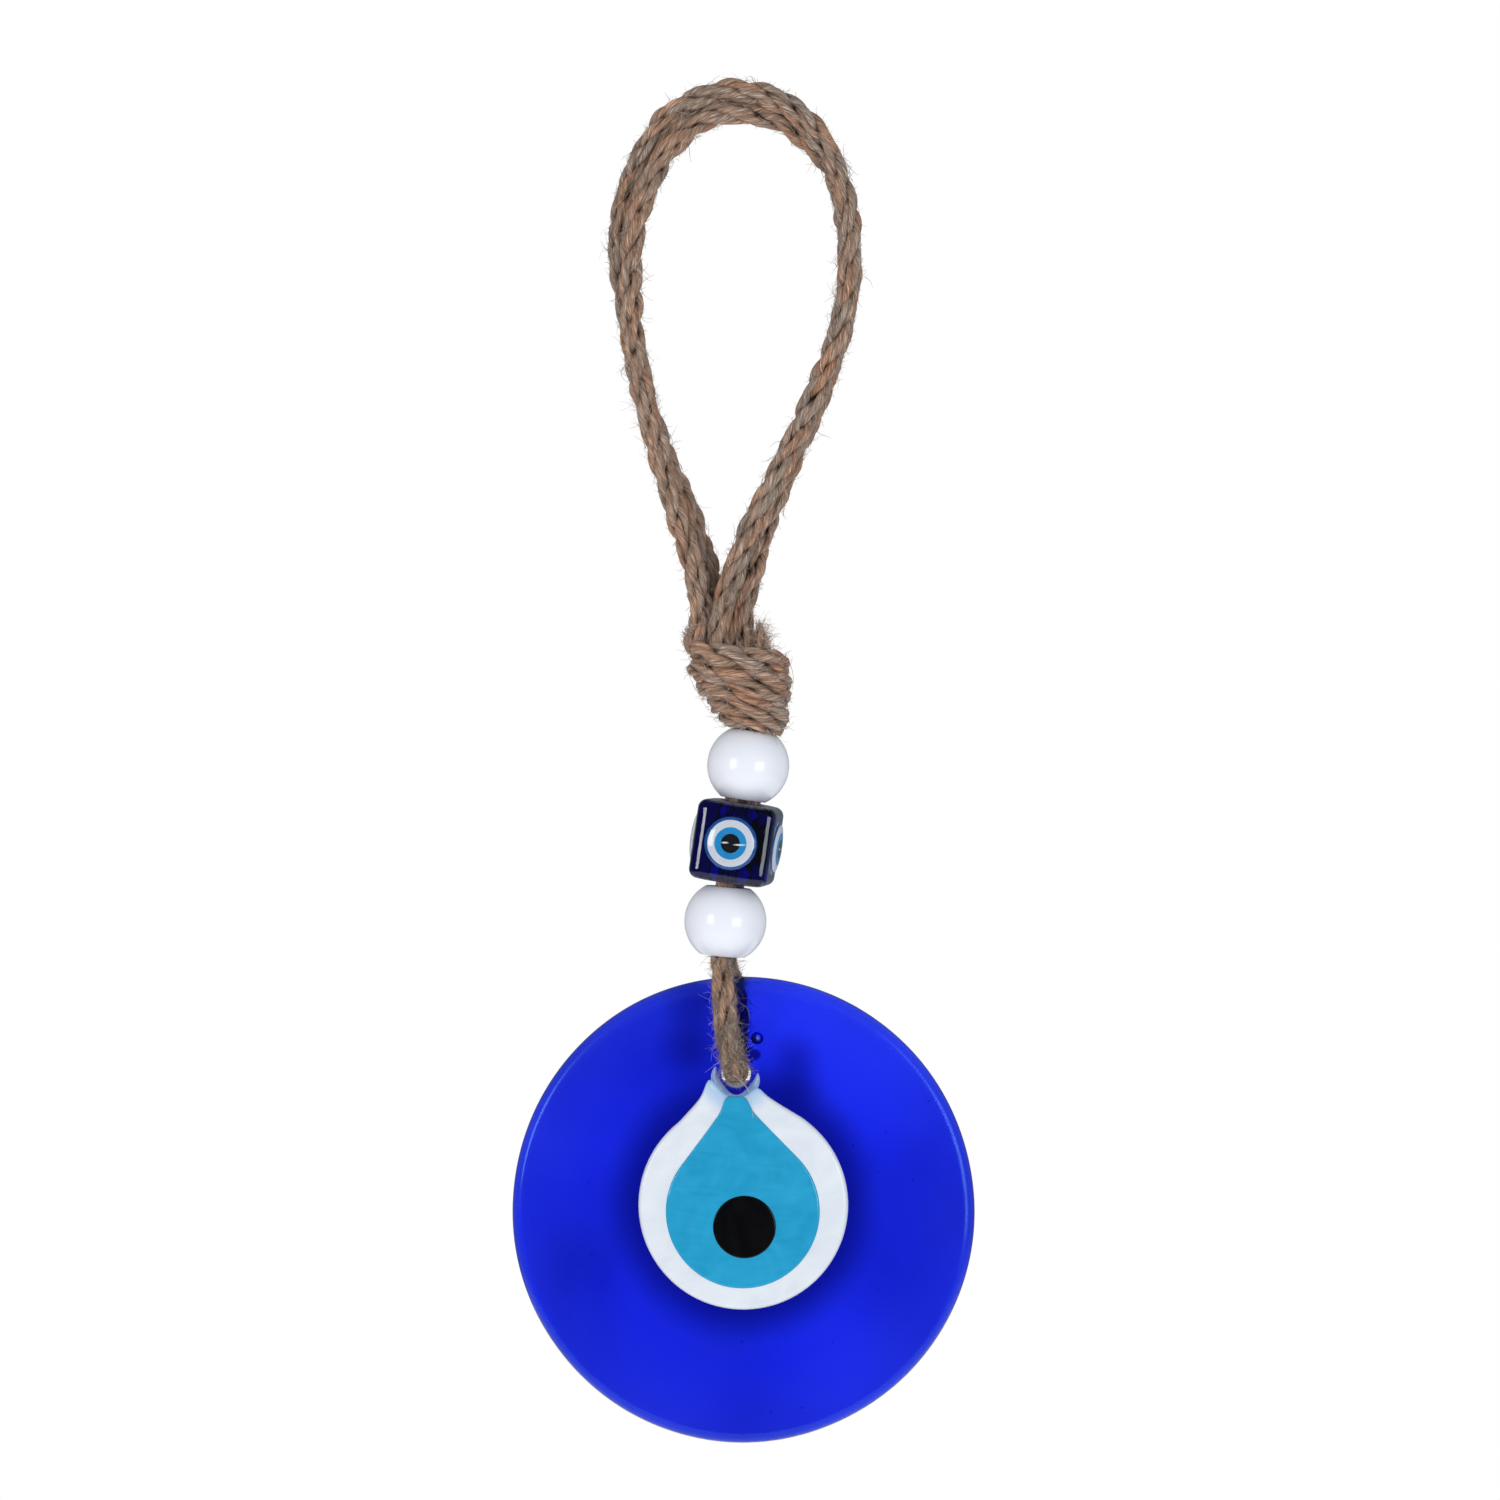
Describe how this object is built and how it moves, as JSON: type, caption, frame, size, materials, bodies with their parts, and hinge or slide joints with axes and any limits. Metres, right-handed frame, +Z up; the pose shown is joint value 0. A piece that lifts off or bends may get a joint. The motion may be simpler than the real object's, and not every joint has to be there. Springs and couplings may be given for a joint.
{
  "type": "evil eye ornament",
  "caption": "Hanging evil eye ornament: a cobalt glass eye disc on a doubled jute rope, with a cube eye bead between white beads, a wrapped knot and a hanging loop.",
  "frame": {"origin": "the inside of the rope loop's top, where a nail or hook bears", "axes": "+Z up along the hanging ornament, -Y the way the eye faces, +Y towards the wall, +X to the right as seen from the front"},
  "size_m": [0.0906, 0.0198, 0.2659],
  "materials": {
    "jute_rope": "three-strand laid jute, fibrous, slightly glossy fibres",
    "white_bead": "gloss",
    "navy_bead": "gloss, translucent",
    "eye_print_white": "printed, under a clear dome",
    "eye_print_blue": "printed, under a clear dome",
    "eye_print_black": "printed, under a clear dome",
    "clear_dome": "clear gloss resin",
    "cobalt_glass": "fire-polished, seed bubbles",
    "white_glass": "opaque, fire-polished",
    "sky_glass": "opaque, fire-polished, faint swirls",
    "black_glass": "opaque, fire-polished"
  },
  "bodies": {
    "rope": {"loop_rope_inner": "jute_rope", "loop_rope_outer": "jute_rope", "knot": "jute_rope", "knot_tails": "jute_rope", "drop_rope": "jute_rope"},
    "top_bead": {"upper_bead": "white_bead"},
    "eye_cube": {"cube_bead": "navy_bead", "cube_eye_whites": "eye_print_white", "cube_eye_blues": "eye_print_blue", "cube_eye_pupils": "eye_print_black", "cube_eye_domes": "clear_dome"},
    "bottom_bead": {"lower_bead": "white_bead"},
    "disc": {"glass_disc": "cobalt_glass", "white_eye": "white_glass", "blue_iris": "sky_glass", "pupil": "black_glass"}
  },
  "joints": [
    {"name": "disc_swing", "type": "hinge", "parent": "rope", "child": "disc", "pos_m": [-0.0006, 0, -0.184], "axis": [0, 1, 0], "range_deg": [-25, 25]},
    {"name": "upper_bead_spin", "type": "hinge", "parent": "rope", "child": "top_bead", "pos_m": [0.00195, 0, -0.125], "axis": [0.1478, 0, 0.989], "continuous": true},
    {"name": "cube_bead_spin", "type": "hinge", "parent": "rope", "child": "eye_cube", "pos_m": [-0.00035, 0, -0.14], "axis": [0.1478, -0.0262, 0.9887], "continuous": true},
    {"name": "lower_bead_spin", "type": "hinge", "parent": "rope", "child": "bottom_bead", "pos_m": [-0.0025, 0, -0.1554], "axis": [0.0872, 0, 0.9962], "continuous": true}
  ]
}
